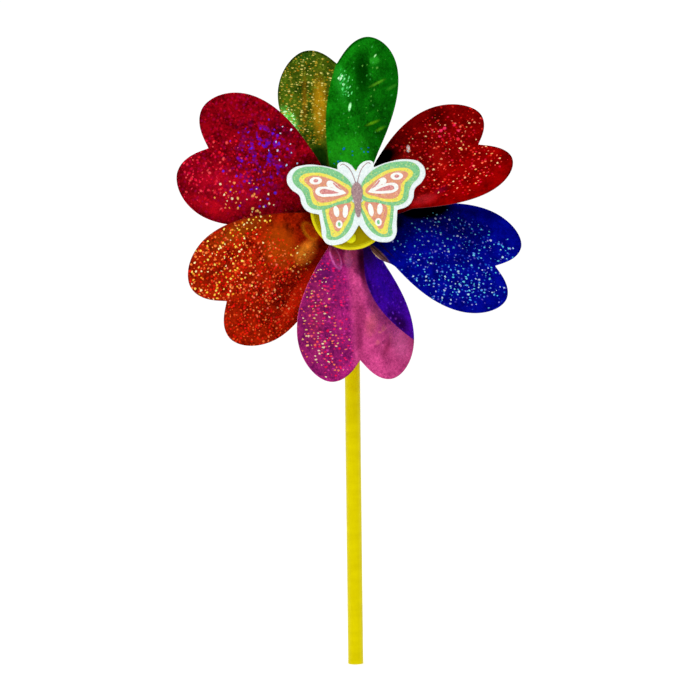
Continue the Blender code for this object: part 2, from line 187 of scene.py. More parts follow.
HINDWING_YELLOW = (
    (14.5, -1.0), (14.7, -6.1), (13.4, -12.0), (12.7, -14.5), (10.2, -14.6), (6.0, -10.2), (3.2, -5.0),
    (2.0, 0.5),
)
HINDWING_ORANGE = ((12.6, -1.0), (11.8, -9.8), (10.1, -12.4), (7.7, -9.6), (4.3, -4.0), (3.6, 0.5))
TEARDROP = (
    (5.0, 5.0, "corner"), (10.2, 7.5), (15.5, 8.7), (18.7, 7.9), (19.2, 6.0), (17.4, 4.4), (13.0, 3.9),
    (8.4, 4.2),
)
TEARDROP_CORE = ((8.2, 5.3, "corner"), (13.0, 7.1), (16.8, 7.2), (17.2, 6.0), (13.6, 5.2))
BRANCH = ((4.9, 5.0, "corner"), (8.0, 8.0), (11.0, 10.9), (12.3, 11.2), (12.6, 9.4), (9.6, 7.2))
BRANCH_CORE = ((6.6, 6.4, "corner"), (9.2, 8.9), (10.8, 10.1), (10.4, 9.2), (8.3, 7.2))
THORAX = (
    (0, 9.8), (1.3, 9.1), (2.3, 7.4), (2.7, 5.4), (2.2, 3.0), (1.6, 0.6), (1.5, -2.0), (1.1, -4.6), (0, -6.4),
)
ANTENNA = ((0.4, 9.6), (1.2, 12.4), (2.4, 15.4), (4.2, 17.6), (6.1, 18.6), (7.0, 18.0))
ANTENNA_RADIUS = 0.2 * MM
ANTENNA_FLATNESS = 0.4
PRINT_STEP = 0.04 * MM

# Grain of the foil and of the print, and the painted highlight on the hub's rim
GRAIN = 0.7 * MM
GRAIN_PATCH = 1.7 * MM
GRAIN_CLOUD = 6 * MM
RAGGEDNESS = 1.1 * MM
RIPPLE = 16 * MM
SHADE_SPREAD = 0.28
SMALLEST_FLECK, LARGEST_FLECK = 0.45, 1.3  # as shares of a layer's fleck radius
GLITTER = 0.7 * MM
GLITTER_SHARE = 0.7  # share of the cells that hold a fleck
GLITTER_COVER = 0.9
RIM_HIGHLIGHT_FADE = 0.6 * MM

# Camera, at the photograph's viewing angle, and the backdrop that it sees
CAMERA_DISTANCE = 0.9
CAMERA_HEIGHT = 0.152
CAMERA_ASIDE = -0.00102
CAMERA_ROLL = -0.66
VIEW_WIDTH = 0.3396
SENSOR_WIDTH = 36.0
BACKDROP_WHITE = 1.05

SMOOTH_ANGLE = math.radians(35)


def srgb(red, green, blue):
    """The linear colour of a display colour from 0 to 255."""
    def linear(value):
        share = value / 255
        return share / 12.92 if share <= 0.04045 else ((share + 0.055) / 1.055) ** 2.4
    return (linear(red), linear(green), linear(blue), 1.0)


# ---------------------------------------------------------------- node graphs


class Graph:
    """Short names for the nodes of one material or world."""

    def __init__(self, tree):
        self.tree = tree

    def node(self, kind, **settings):
        made = self.tree.nodes.new(kind)
        for key, value in settings.items():
            setattr(made, key, value)
        return made

    def feed(self, socket, value):
        """Links a socket, or sets its value where that is a plain number or colour."""
        if isinstance(value, bpy.types.NodeSocket):
            self.tree.links.new(value, socket)
        else:
            socket.default_value = value

    def feed_all(self, node, values):
        for name, value in values.items():
            self.feed(node.inputs[name], value)

    def math(self, operation, *values):
        made = self.node("ShaderNodeMath", operation=operation)
        for socket, value in zip(made.inputs, values):
            self.feed(socket, value)
        return made.outputs[0]

    def span(self, value, low, high, out_low=0.0, out_high=1.0, smooth=True):
        """value mapped from low..high to out_low..out_high, held at both ends."""
        kind = "SMOOTHSTEP" if smooth else "LINEAR"
        made = self.node("ShaderNodeMapRange", interpolation_type=kind)
        for socket, given in zip(made.inputs, (value, low, high, out_low, out_high)):
            self.feed(socket, given)
        return made.outputs[0]

    def mix(self, share, first, second):
        made = self.node("ShaderNodeMix", data_type="RGBA")
        self.feed(made.inputs["Factor"], share)
        self.feed(made.inputs[6], first)
        self.feed(made.inputs[7], second)
        return made.outputs[2]

    def noise(self, place, size, detail=2.0):
        made = self.node("ShaderNodeTexNoise")
        self.feed_all(made, {"Vector": place, "Scale": 1 / size, "Detail": detail})
        return made.outputs["Fac"]

    def cells(self, place, size, randomness=1.0, dimensions="2D"):
        """Voronoi cells: distance to the cell's point, and three random numbers for the cell."""
        made = self.node("ShaderNodeTexVoronoi", voronoi_dimensions=dimensions)
        self.feed_all(made, {"Vector": place, "Scale": 1 / size, "Randomness": randomness})
        split = self.node("ShaderNodeSeparateColor")
        self.tree.links.new(made.outputs["Color"], split.inputs[0])
        return made.outputs["Distance"], split.outputs[0], split.outputs[1], split.outputs[2]

    def mapped(self, place, location=(0, 0, 0), turn=0.0, scale=(1, 1, 1)):
        made = self.node("ShaderNodeMapping", vector_type="TEXTURE")
        rotation = (0, 0, math.radians(turn))
        self.feed_all(made, {"Vector": place, "Location": location, "Rotation": rotation, "Scale": scale})
        return made.outputs[0]

    def palette(self, number, colours):
        """One of the colours, picked by a random number from 0 to 1."""
        made = self.node("ShaderNodeValToRGB")
        made.color_ramp.interpolation = "CONSTANT"
        stops = made.color_ramp.elements
        while len(stops) < len(colours):
            stops.new(0.5)
        while len(stops) > len(colours):
            stops.remove(stops[-1])
        for index, colour in enumerate(colours):
            stops[index].position = index / len(colours)
            stops[index].color = srgb(*colour)
        self.feed(made.inputs[0], number)
        return made.outputs[0]

    def object_place(self):
        return self.node("ShaderNodeTexCoord").outputs["Object"]

    def split(self, place):
        made = self.node("ShaderNodeSeparateXYZ")
        self.feed(made.inputs[0], place)
        return made.outputs


def new_material(name):
    material = bpy.data.materials.new(name)
    material.use_nodes = True
    graph = Graph(material.node_tree)
    shader = material.node_tree.nodes["Principled BSDF"]
    return material, graph, shader


def bump(graph, shader, height, distance, strength=1.0):
    made = graph.node("ShaderNodeBump")
    graph.feed_all(made, {"Strength": strength, "Distance": distance, "Height": height})
    graph.feed(shader.inputs["Normal"], made.outputs[0])


# ---------------------------------------------------------------- plain materials


def plastic(name, colour, shade, roughness):
    """Moulded plastic: slight blotches of colour, fine scuffs along it in the gloss, and an uneven skin."""
    material, graph, shader = new_material(name)
    place = graph.object_place()
    blotch = graph.noise(graph.mapped(place, scale=(1, 1, 0.4)), 9 * MM, 3.0)
    colour_out = graph.mix(graph.span(blotch, 0.2, 0.8), srgb(*shade), srgb(*colour))
    scuff = graph.noise(graph.mapped(place, scale=(1, 1, 8)), 1.1 * MM, 4.0)
    graph.feed_all(shader, {
        "Base Color": colour_out,
        "Specular Tint": colour_out,
        "Specular IOR Level": 0.25,
        "Roughness": graph.span(scuff, 0.3, 0.7, roughness - 0.06, roughness + 0.09),
    })
    bump(graph, shader, graph.noise(place, 0.7 * MM, 3.0), 0.02 * MM, 0.5)
    return material


def rim_highlight_plastic(name, colour, shade, rim, radius):
    """Moulded plastic of a turned piece, paler past a radius as a painted highlight where its lip catches the
    light.
    """
    material = plastic(name, colour, shade, 0.34)
    graph = Graph(material.node_tree)
    shader = material.node_tree.nodes["Principled BSDF"]
    body = shader.inputs["Base Color"].links[0].from_socket
    x, y, _ = graph.split(graph.object_place())
    squared = graph.math("MULTIPLY_ADD", y, y, graph.math("MULTIPLY", x, x))
    outside = graph.span(graph.math("POWER", squared, 0.5), radius - RIM_HIGHLIGHT_FADE, radius)
    # the pale rim colour is a painted highlight where the lip catches the light
    graph.feed(shader.inputs["Base Color"], graph.mix(outside, body, srgb(*rim)))
    return material


def foam(name, colour, speck, size):
    """Fine closed-cell foam."""
    material, graph, shader = new_material(name)
    place = graph.object_place()
    distance, pick, *_ = graph.cells(place, size, dimensions="3D")
    colour_out = graph.mix(graph.span(pick, 0.2, 0.9), srgb(*speck), srgb(*colour))
    graph.feed_all(shader, {"Base Color": colour_out, "Roughness": 0.75})
    bump(graph, shader, distance, 0.04 * MM, 0.4)
    return material


def glitter_print(name, colour, specks):
    """Print on the foam, grainy with glitter: flecks in several tints over the ink."""
    material, graph, shader = new_material(name)
    place = graph.object_place()
    distance, pick, tint, gloss = graph.cells(place, GLITTER, dimensions="3D")
    picked = graph.math("LESS_THAN", pick, GLITTER_SHARE)
    fleck = graph.math("MULTIPLY", picked, graph.span(distance, 0.62, 0.25))
    soft = graph.noise(place, 2.4 * MM, 2.0)
    ink = graph.mix(graph.span(soft, 0.3, 0.7, 0.0, 0.25), srgb(*colour), srgb(*specks[-1]))
    cover = graph.math("MULTIPLY", fleck, GLITTER_COVER)
    graph.feed_all(shader, {
        "Base Color": graph.mix(cover, ink, graph.palette(tint, specks)),
        "Roughness": graph.span(gloss, 0.0, 1.0, 0.35, 0.7, smooth=False),
    })
    bump(graph, shader, distance, 0.03 * MM, 0.35)
    return material


# ---------------------------------------------------------------- foil


def ellipse(graph, place, stroke):
    """1 inside an ellipse on the petal's pattern, fading to 0 over its soft share."""
    u, v, half_u, half_v, turn, soft = stroke
    local = graph.mapped(place, (u * MM, v * MM, 0), turn, (half_u * MM, half_v * MM, 1))
    length = graph.node("ShaderNodeVectorMath", operation="LENGTH")
    graph.feed(length.inputs[0], local)
    return graph.span(length.outputs["Value"], 1.0, 1.0 - soft)


def strongest(graph, masks):
    """The greatest of several masks."""
    out = masks[0]
    for mask in masks[1:]:
        out = graph.math("MAXIMUM", out, mask)
    return out


def curved_side(graph, place, curve, soft):
    """1 where v is less than a curve over u, given by its start v, change, first u, length and power."""
    start, change, first, length, power = curve
    u, v, _ = graph.split(place)
    along = graph.span(u, first * MM, (first + length) * MM, smooth=False)
    limit = graph.math("MULTIPLY_ADD", graph.math("POWER", along, power), change * MM, start * MM)
    return graph.span(graph.math("SUBTRACT", limit, v), -soft * MM, soft * MM)


def sparkle(
    graph, place, colour, *, size, radius, density, colours, core=0.35, strength=1.0, seed=0.0, turn=0,
    stretch=(1, 1, 1), randomness=1.0, where=(),
):
    """Painted glints: scattered flecks of the holographic pattern, lit where they catch the light, each in a
    cell of its own and of one of the colours.

    size is that of a cell, radius is a share of it and core a share of the fleck, density is the share of
    cells that hold a fleck, and where lists ellipses that they lie in. Gives the new colour and the mask.
    """
    cell_place = graph.mapped(place, (seed, 0, 0), turn, stretch)
    distance, pick, tint, grow = graph.cells(cell_place, size * MM, randomness)
    if where:
        mask = strongest(graph, [ellipse(graph, place, area) for area in where])
        density = graph.math("MULTIPLY", mask, density)
    reach = graph.span(grow, 0.0, 1.0, radius * SMALLEST_FLECK, radius * LARGEST_FLECK, smooth=False)
    spot = graph.span(distance, reach, graph.math("MULTIPLY", reach, core))
    shuffled = graph.math("FRACT", graph.math("MULTIPLY", tint, 7.0))
    shine = graph.span(shuffled, 0.0, 1.0, 0.75, 1.0, smooth=False)
    lit = graph.math("MULTIPLY", graph.math("LESS_THAN", pick, density), spot)
    lit = graph.math("MULTIPLY", lit, graph.math("MULTIPLY", shine, strength))
    return graph.mix(lit, colour, graph.palette(tint, colours)), lit


def ruffled(graph, place, size):
    """The place shifted by noise, at most by half the noise's size, so that flecks come out ragged."""
    texture = graph.node("ShaderNodeTexNoise")
    graph.feed_all(texture, {"Vector": place, "Scale": 1 / size})
    centred = graph.node("ShaderNodeVectorMath", operation="SUBTRACT")
    graph.feed(centred.inputs[0], texture.outputs["Color"])
    centred.inputs[1].default_value = (0.5, 0.5, 0.5)
    moved = graph.node("ShaderNodeVectorMath", operation="MULTIPLY_ADD")
    graph.feed(moved.inputs[0], centred.outputs[0])
    moved.inputs[1].default_value = (size, size, 0)
    graph.feed(moved.inputs[2], place)
    return moved.outputs[0]


def foil(name, look):
    """Metallised film with a holographic grain: mottled metal, strokes and zones of painted reflection,
    highlight and shade, then flecks of the pattern painted as glints.
    """
    material, graph, shader = new_material(name + "_foil")
    place = graph.node("ShaderNodeUVMap", uv_map="pattern").outputs["UV"]
    ragged = ruffled(graph, place, RAGGEDNESS)

    _, grain, grain_tint, _ = graph.cells(ragged, GRAIN)
    graininess = look.get("graininess", 0.3)
    patchiness = look.get("patchiness", 0.5)
    cloud = graph.noise(place, GRAIN_CLOUD, 2.0)
    shade = graph.math("MULTIPLY_ADD", grain, graininess, cloud)
    shade = graph.math("MULTIPLY_ADD", graph.noise(place, GRAIN_PATCH, 1.0), patchiness, shade)
    middle = 0.5 * (1 + graininess + patchiness)
    shade = graph.span(shade, middle - SHADE_SPREAD, middle + SHADE_SPREAD, smooth=False)

    def painted(zone):
        """The colour of a zone with its painted strokes and glints, and the masks of its glints."""
        colour = graph.mix(shade, srgb(*zone["dark"]), srgb(*zone["bright"]))
        for area, tint, strength, *blots in zone["strokes"]:
            mask = graph.math("MULTIPLY", ellipse(graph, place, area), strength)
            if blots:
                broken = graph.noise(ragged, blots[0] * MM, 1.5)
                mask = graph.math("MULTIPLY", mask, graph.span(broken, 0.56, 0.63))
            red, green, blue, _ = srgb(*tint)
            shaded = (0.6 * red, 0.6 * green, 0.6 * blue, 1.0)
            colour = graph.mix(mask, colour, graph.mix(shade, shaded, (red, green, blue, 1.0)))
        masks = []
        for layer in zone.get("sparkles", ()):
            colour, lit = sparkle(graph, ragged, colour, **layer)
            masks.append(lit)
        return colour, masks

    colour, glint_flecks = painted(look)
    for zone in look.get("zones", ()):
        inside = curved_side(graph, place, zone["curve"], zone["soft"])
        zone_colour, masks = painted(zone)
        glint_flecks += [graph.math("MULTIPLY", mask, inside) for mask in masks]
        colour = graph.mix(inside, colour, zone_colour)

    graph.feed_all(shader, {
        "Base Color": colour,
        "Specular Tint": colour,
        "Specular IOR Level": 0.0,
        # painted glints are less metallic, so that they stay bright under any light
        "Metallic": graph.span(strongest(graph, glint_flecks), 0.0, 1.0, 0.6, 0.3, smooth=False),
        "Roughness": graph.span(grain_tint, 0.0, 1.0, 0.18, 0.32, smooth=False),
    })
    height = graph.math("MULTIPLY_ADD", grain, 0.02, graph.noise(place, RIPPLE, 1.0))
    bump(graph, shader, height, 1.2 * MM, 0.5)
    return material


def cut_edge(name, dark, light):
    """The bare cut edge of the film, uneven where the knife left it."""
    material, graph, shader = new_material(name + "_edge")
    rough = graph.noise(graph.object_place(), 0.8 * MM, 3.0)
    graph.feed_all(shader, {
        "Base Color": graph.mix(rough, srgb(*dark), srgb(*light)),
        "Roughness": graph.span(rough, 0.3, 0.7, 0.3, 0.5),
    })
    return material


# ---------------------------------------------------------------- looks of the foils

# Colours are display values from 0 to 255, and sizes are millimetres on the flat pattern. An ellipse is
# (u, v, half_u, half_v, turn in degrees, soft share of its radius). A stroke is an ellipse, its colour and
# its strength, and the size of its blots where it is broken up; the strokes paint reflections, highlights
# and shade. The metal runs from dark to bright with the grain. A zone lies over the rest where v is less
# than its curve; the zones paint reflections and lit sides. A layer of sparkles is what sparkle takes, and
# paints glints.

# Painted reflection: the green petal's counterclockwise lobe, olive and gold where it reflects the red petal,
# with a white-green painted highlight near its edge, painted shade by the hub and glints
OLIVE_REFLECTION_LOBE = dict(
    curve=(-9.6, 9.1, 32, 39, 2.2), soft=0.3, dark=(18, 40, 3), bright=(62, 78, 9),
    strokes=[
        ((52, -11, 21, 5.2, 5, 0.8), (150, 110, 10), 0.9),
        ((57, -18, 20, 2.0, 6, 0.9), (110, 76, 8), 0.7),
        ((59, -26, 19, 5, -8, 0.9), (66, 92, 12), 0.8),
        ((48.5, -26.5, 10, 4.4, -28, 0.8), (84, 176, 60), 0.95),
        ((78, -16, 4, 9, 0, 0.9), (24, 70, 10), 0.6),
        ((27, -14, 9, 6, 0, 0.5), (8, 34, 2), 0.95),
    ],
    sparkles=[
        dict(
            size=1.3, radius=0.44, density=0.72, strength=0.9, turn=20, stretch=(0.75, 1.35, 1),
            randomness=0.8, where=[(57, -16, 26, 17, 0, 0.25)],
            colours=[(170, 140, 40), (200, 186, 100), (150, 104, 14), (110, 124, 30), (186, 166, 70)],
        ),
        dict(
            size=1.4, radius=0.5, density=0.8, core=0.6, seed=0.2, stretch=(0.8, 1.6, 1),
            where=[(48.5, -26.5, 10, 4.4, -28, 0.5)], colours=[(200, 240, 180), (120, 220, 96)],
        ),
    ],
)

# The green petal's smooth lobe: its strokes are painted light, with darker bands, brighter edges and bottom,
# highlight streaks and two white painted highlights; the first layer of sparkles paints a streak of glints
GREEN_LOOK = dict(
    dark=(4, 62, 3), bright=(11, 104, 9), edge=((0, 40, 0), (20, 90, 20)),
    strokes=[
        ((64, 12, 17, 6, 4, 0.8), (0, 36, 0), 0.85),
        ((52, 9, 12, 4, 0, 0.9), (4, 58, 3), 0.5),
        ((80, 13, 6, 12, 0, 0.9), (12, 112, 12), 0.7),
        ((56, 27, 24, 5, 0, 0.9), (8, 112, 9), 0.7),
        ((62, 1, 13, 4.5, -6, 0.8), (24, 126, 26), 0.85),
        ((27, 1, 12, 18, 0, 0.7), (26, 132, 17), 0.7),
        ((57, 19.5, 5.8, 1.1, 79, 0.9), (96, 176, 34), 0.75),
        ((53, 27, 4.0, 1.4, 79, 0.9), (60, 160, 36), 0.7),
        ((38.5, 15, 5.2, 1.1, 84, 0.9), (104, 172, 16), 0.75),
        ((34.5, 18.5, 4.0, 1.3, 80, 0.9), (90, 172, 20), 0.75),
        ((68.4, 19.5, 2.6, 3.6, 20, 0.6), (36, 150, 30), 0.9),
        ((70.5, 20, 1.3, 0.6, 46, 0.8), (170, 235, 160), 1.0),
        ((49, 4, 2.6, 0.9, 18, 0.6), (160, 235, 165), 1.0),
    ],
    sparkles=[
        dict(
            size=1.2, radius=0.5, density=0.75, core=0.3, turn=30, stretch=(1.9, 0.9, 1),
            where=[(61, 3, 10, 4.2, -12, 0.5)],
            colours=[(120, 216, 136), (60, 184, 84), (180, 236, 186), (40, 160, 64), (90, 200, 110)],
        ),
        dict(
            size=2.2, radius=0.3, density=0.4, seed=0.3, where=[(25, -1, 6, 15, 0, 0.5)],
            colours=[(10, 70, 190), (20, 110, 110), (20, 90, 200)],
        ),
        dict(
            size=2.6, radius=0.24, density=0.25, strength=0.7, seed=0.6, where=[(50, 14, 34, 20, 0, 0.3)],
            colours=[(60, 150, 70), (40, 130, 40), (90, 160, 60)],
        ),
    ],
    zones=[OLIVE_REFLECTION_LOBE],
)

# The dark red petal: its strokes are painted light, a soft bright sheen, darker patches, a black painted
# reflection near the hub and a white painted highlight with a red glow around it
DARK_RED_LOOK = dict(
    dark=(90, 0, 0), bright=(144, 3, 4), edge=((30, 0, 0), (90, 10, 10)), graininess=0.16,
    strokes=[
        ((52, -2, 15, 6, 102, 0.9), (164, 10, 7), 0.8),
        ((62, -25, 10, 6, -10, 0.9), (76, 0, 0), 0.8),
        ((46, -21, 5, 4, 0, 0.9), (84, 0, 0), 0.5),
        ((78, 15, 5, 6, 0, 0.9), (84, 0, 0), 0.6),
        ((34, 16, 10, 6, 20, 0.8), (182, 42, 48), 0.8),
        ((44, 15, 5, 3.5, 0, 0.9), (104, 6, 44), 0.6),
        ((38.5, -12.5, 5, 4.0, 0, 0.9), (170, 20, 10), 0.8),
        ((27, -17, 11.5, 5.4, -14, 0.4), (3, 0, 0), 1.0),
        ((42, -16, 2.5, 1.05, -66, 0.5), (255, 255, 255), 1.0),
    ],
    sparkles=[
        dict(
            size=1.7, radius=0.38, density=0.5, strength=0.9, seed=0.5, where=[(56, -3, 32, 32, 0, 0.35)],
            colours=[(216, 24, 24), (204, 16, 12), (236, 46, 36), (220, 24, 50)],
        ),
        dict(
            size=2.1, radius=0.25, density=0.38, core=0.6, where=[(60, -1, 28, 28, 0, 0.35)],
            colours=[(255, 170, 100), (255, 110, 80), (255, 210, 150), (255, 80, 70), (255, 150, 110)],
        ),
        dict(
            size=2.4, radius=0.4, density=0.4, core=0.5, seed=0.9, where=[(62, -14, 12, 9, 40, 0.6)],
            colours=[(255, 30, 80), (240, 40, 60), (255, 50, 100)],
        ),
    ],
)

# The blue petal: its strokes are painted light, a brighter middle, a black painted reflection near the hub, a
# darker tip, and pale, brown and dark stripes of painted reflection at its flared base
BLUE_LOOK = dict(
    dark=(0, 2, 106), bright=(4, 12, 164), edge=((0, 0, 40), (20, 20, 100)), graininess=0.2,
    strokes=[
        ((41, -2, 21, 13, -10, 0.9), (5, 16, 226), 0.9),
        ((32, -18, 17, 6, -33, 0.4), (0, 0, 6), 1.0),
        ((22, -6, 4, 6, 0, 0.7), (2, 0, 24), 0.8),
        ((58, -28, 16, 5, -8, 0.9), (0, 0, 84), 0.7),
        ((17.5, 14.2, 10, 2.0, 33, 0.4), (120, 80, 84), 1.0),
        ((16.2, 15.9, 9, 1.0, 33, 0.5), (226, 190, 160), 0.9),
        ((17.8, 13.8, 9, 0.4, 33, 0.6), (50, 20, 34), 0.95),
        ((19.9, 10.6, 9, 0.5, 33, 0.6), (40, 14, 40), 0.95),
    ],
    sparkles=[
        dict(
            size=1.5, radius=0.34, density=0.36, strength=0.85, seed=0.4, where=[(54, 4, 32, 30, 0, 0.3)],
            colours=[(30, 60, 210), (50, 90, 226), (40, 120, 230), (100, 90, 214)],
        ),
        dict(
            size=2.0, radius=0.26, density=0.42, core=0.6, where=[(54, 4, 34, 31, 0, 0.35)],
            colours=[(120, 225, 255), (196, 222, 255), (100, 170, 255), (150, 150, 240), (90, 220, 250)],
        ),
        dict(
            size=1.8, radius=0.3, density=0.34, core=0.6, seed=0.7,
            where=[(60, 16, 20, 12, 0, 0.8), (73, -8, 8, 14, 0, 0.8)],
            colours=[(110, 226, 250), (190, 240, 255), (80, 170, 255)],
        ),
    ],
)

# The magenta petal's smooth side, lit pinker than its sparkly side: painted light, with painted shade by the
# hub and along the crease, salmon painted highlights and a pink painted reflection of the hub's rim
PINK_SHEEN_LOBE = dict(
    curve=(2.0, 1.0, 10, 70, 1.0), soft=2.4, dark=(160, 44, 102), bright=(208, 74, 136),
    strokes=[
        ((28, -5.0, 15, 2.6, -2, 0.8), (132, 20, 72), 0.9),
        ((58, -0.5, 24, 3.6, 0, 0.9), (146, 34, 90), 0.85),
        ((24, -5, 9, 4, 0, 0.8), (84, 6, 50), 0.95),
        ((50, -3.5, 10, 3, -6, 0.9), (140, 30, 80), 0.6),
        ((54, -8, 10, 5, 24, 0.9), (230, 96, 128), 0.75),
        ((60, -12, 8, 9, 40, 0.9), (240, 116, 136), 0.85, 4),
        ((66, -15, 9, 3, 30, 0.9), (140, 26, 76), 0.7),
        ((64, -23, 11, 8, 0, 0.9), (236, 100, 166), 0.8),
        ((62, -14, 5, 5, 0, 0.9), (130, 30, 84), 0.7, 5),
        ((23, 2.2, 6.0, 3.0, 0, 0.6), (226, 100, 176), 0.85),
    ],
)

# Painted reflection of the blue petal in the magenta film: a violet lens, darker at its ends
VIOLET_REFLECTION = dict(
    curve=(-6.0, -43.5, 28, 45, 2.2), soft=0.3, dark=(58, 7, 128), bright=(100, 16, 206),
    strokes=[
        ((38, -16, 12, 4, -30, 0.8), (90, 20, 222), 0.6),
        ((21, -8, 9, 7, 0, 0.8), (64, 18, 96), 0.9),
        ((54, -23, 13, 6, -38, 0.9), (60, 3, 98), 1.0),
        ((36, -8, 12, 2, -14, 0.9), (50, 4, 110), 0.8),
    ],
    sparkles=[
        dict(
            size=2.6, radius=0.26, density=0.2, strength=0.7, where=[(45, -18, 30, 14, 0, 0.5)],
            colours=[(140, 60, 230), (120, 40, 210), (160, 60, 200)],
        ),
    ],
)

# The magenta petal: its strokes are painted light, darker and brighter patches and, near the hub, a pink
# painted reflection of the hub's rim
MAGENTA_LOOK = dict(
    dark=(106, 16, 84), bright=(178, 36, 118), edge=((200, 90, 150), (255, 190, 220)),
    strokes=[
        ((30, 14, 9, 6, -20, 0.8), (110, 20, 104), 0.8),
        ((50, 21, 24, 6, 6, 0.9), (170, 40, 88), 0.6),
        ((66, 9, 12, 7, 0, 0.9), (110, 16, 84), 0.6),
        ((22.5, 8.6, 6.9, 2.9, -17, 0.25), (206, 96, 176), 0.85),
        ((22.4, 8.5, 6.0, 2.1, -17, 0.3), (156, 40, 100), 0.95),
        ((23, 2.2, 6.0, 3.0, 0, 0.6), (226, 100, 176), 0.85),
    ],
    sparkles=[
        dict(
            size=1.8, radius=0.38, density=0.6, seed=0.6, stretch=(0.75, 1.35, 1),
            where=[(53, 13, 34, 13, 0, 0.3)],
            colours=[(246, 20, 100), (250, 16, 70), (226, 40, 110), (210, 50, 150)],
        ),
        dict(
            size=1.75, radius=0.3, density=0.56, core=0.6, stretch=(0.8, 1.25, 1),
            where=[(48, 21, 32, 9, 8, 0.5), (64, 15, 18, 11, 0, 0.6)],
            colours=[(255, 200, 120), (255, 130, 80), (255, 228, 180), (255, 80, 80), (255, 110, 110)],
        ),
    ],
    zones=[PINK_SHEEN_LOBE, VIOLET_REFLECTION],
)

# The orange petal: its strokes are painted light, a gold painted reflection of the yellow hub with a crescent
# of it at the hub's edge, painted shade beside that, a bright painted highlight band and darker lobes
ORANGE_LOOK = dict(
    dark=(92, 6, 0), bright=(164, 32, 4), edge=((60, 8, 0), (120, 40, 10)),
    strokes=[
        ((36, 6, 11, 15, 25, 0.7), (168, 62, 4), 0.9),
        ((48, 24, 22, 6, 8, 0.8), (146, 58, 6), 0.8),
        ((28, -5, 9, 6, -20, 0.8), (255, 146, 36), 0.9),
        ((20.5, 2.5, 3.6, 6.6, 0, 0.4), (206, 116, 14), 0.8),
        ((20, 2.5, 2.4, 5.4, 0, 0.4), (186, 54, 6), 0.9),
        ((26.5, 10, 4.6, 4.6, 0, 0.7), (76, 10, 0), 0.9, 5),
        ((44, -20, 22, 4.6, -24, 0.7), (246, 54, 10), 0.85),
        ((64, -12, 12, 11, 0, 0.9), (124, 14, 0), 0.7),
        ((70, 12, 12, 12, 0, 0.9), (140, 22, 2), 0.5),
    ],
    sparkles=[
        dict(
            size=1.35, radius=0.46, density=0.75, strength=0.9, seed=0.7, where=[(62, -2, 32, 38, 0, 0.25)],
            colours=[(230, 36, 10), (244, 80, 30), (216, 12, 6), (250, 116, 60), (240, 20, 20)],
        ),
        dict(
            size=1.8, radius=0.31, density=0.56, core=0.6,
            where=[(63, 14, 25, 21, 0, 0.6), (42, 23, 18, 5, 10, 0.5), (31, -5, 11, 7, -20, 0.5)],
            colours=[(250, 226, 100), (250, 200, 60), (240, 160, 40), (255, 244, 170), (240, 120, 50)],
        ),
        dict(
            size=2.0, radius=0.28, density=0.26, seed=0.2, where=[(54, -6, 26, 22, 0, 0.5)],
            colours=[(250, 150, 80), (250, 110, 90), (255, 190, 120)],
        ),
    ],
)

# The red petal: its strokes are painted light, darker patches near the hub, a brighter painted sheen towards
# the lobes, and violet and blue painted diffraction colours in the middle
RED_LOOK = dict(
    dark=(80, 0, 6), bright=(146, 2, 18), edge=((70, 0, 10), (130, 20, 40)), patchiness=0.8,
    strokes=[
        ((26, 6, 14, 11, 0, 0.9), (92, 0, 4), 0.8),
        ((43, 21, 14, 6, 0, 0.9), (76, 0, 12), 0.7),
        ((60, -25, 16, 6, 0, 0.9), (226, 12, 34), 0.85),
        ((56, -14, 30, 15, 0, 0.9), (196, 8, 36), 0.8),
        ((49, 2, 20, 27, 0, 0.8), (96, 6, 100), 0.6, 4.0),
        ((47, 5, 16, 21, 0, 0.9), (56, 14, 200), 0.8, 3.0),
    ],
    sparkles=[
        dict(
            size=1.6, radius=0.5, density=0.55, core=0.0, strength=0.7,
            colours=[(190, 6, 40), (170, 4, 64), (210, 16, 40), (150, 4, 74)],
        ),
        dict(
            size=1.9, radius=0.4, density=0.55, strength=0.85, seed=0.1, where=[(64, -8, 28, 22, -20, 0.6)],
            colours=[(236, 20, 40), (250, 44, 70), (226, 10, 60), (250, 80, 80)],
        ),
        dict(
            size=2.2, radius=0.38, density=0.24, core=0.2, seed=0.8, where=[(48, 2, 20, 27, -10, 0.5)],
            colours=[(90, 20, 214), (110, 16, 170), (64, 40, 225), (140, 10, 130)],
        ),
        dict(
            size=2.1, radius=0.31, density=0.5, core=0.6, seed=0.9, where=[(46, -15, 20, 10, 0, 0.6)],
            colours=[(255, 214, 110), (255, 170, 70), (255, 240, 190), (255, 150, 90)],
        ),
        dict(
            size=2.1, radius=0.21, density=0.32, core=0.6, seed=0.2, stretch=(1, 1.4, 1),
            where=[(38, 14, 10, 13, 0, 0.6)], colours=[(170, 214, 255), (214, 224, 250)],
        ),
        dict(
            size=2.3, radius=0.34, density=0.4, core=0.5, seed=0.4, where=[(68, -18, 16, 14, 0, 0.7)],
            colours=[(250, 50, 80), (250, 80, 90), (240, 30, 60)],
        ),
    ],
)

LOOKS = {
    "petal_green": GREEN_LOOK,
    "petal_dark_red": DARK_RED_LOOK,
    "petal_blue": BLUE_LOOK,
    "petal_magenta": MAGENTA_LOOK,
    "petal_orange": ORANGE_LOOK,
    "petal_red": RED_LOOK,
}


# ---------------------------------------------------------------- mesh helpers


def link(name, mesh, material, matrix):
    """A new object in the scene, with an optional material."""
    obj = bpy.data.objects.new(name, mesh)
    bpy.context.scene.collection.objects.link(obj)
    obj.matrix_world = matrix
    if material:
        mesh.materials.append(material)
    return obj


def smooth(mesh):
    mesh.shade_smooth()
    mesh.set_sharp_from_angle(angle=SMOOTH_ANGLE)


def to_mesh(name, shape):
    mesh = bpy.data.meshes.new(name)
    shape.to_mesh(mesh)
    shape.free()
    smooth(mesh)
    return mesh


